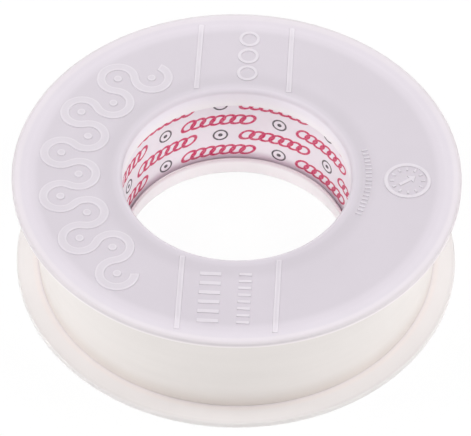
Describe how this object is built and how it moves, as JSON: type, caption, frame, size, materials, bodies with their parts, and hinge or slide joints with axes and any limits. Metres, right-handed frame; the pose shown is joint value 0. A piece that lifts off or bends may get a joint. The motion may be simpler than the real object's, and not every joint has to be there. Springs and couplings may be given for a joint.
{
  "type": "roll of electrical tape",
  "caption": "Roll of white insulating tape on a printed paper core, between frosted side discs whose collars turn inside the core.",
  "frame": {"origin": "on the roll's axis, in the plane of the lower disc's rim bead, which the roll stands on", "axes": "+Z along the roll's axis, upwards; -Y towards the side that the picture is taken from"},
  "size_m": [0.098, 0.098, 0.0281],
  "materials": {
    "disc_plastic": "frosted, slightly translucent moulding",
    "tape_film": "smooth soft film with a low gloss",
    "core_board": "uncoated spiral-wound board",
    "liner_paper": "white paper with a crimson and black print"
  },
  "bodies": {
    "roll": {"core_tube": "core_board", "core_liner": "liner_paper", "tape_winding": "tape_film", "tape_outer_turn": "tape_film"},
    "upper_disc": {"upper_flange": "disc_plastic"},
    "lower_disc": {"lower_flange": "disc_plastic"},
    "free_end": {"tape_free_end": "tape_film"}
  },
  "joints": [
    {"name": "upper_disc_spin", "type": "hinge", "parent": "roll", "child": "upper_disc", "pos_m": [0, 0, 0.0252], "axis": [0, 0, 1], "continuous": true},
    {"name": "lower_disc_spin", "type": "hinge", "parent": "roll", "child": "lower_disc", "pos_m": [0, 0, 0.0029], "axis": [0, 0, 1], "continuous": true},
    {"name": "free_end_peel", "type": "hinge", "parent": "roll", "child": "free_end", "pos_m": [0.0114, 0.04277, 0.01405], "axis": [0, 0, -1], "range_deg": [0, 110]}
  ]
}
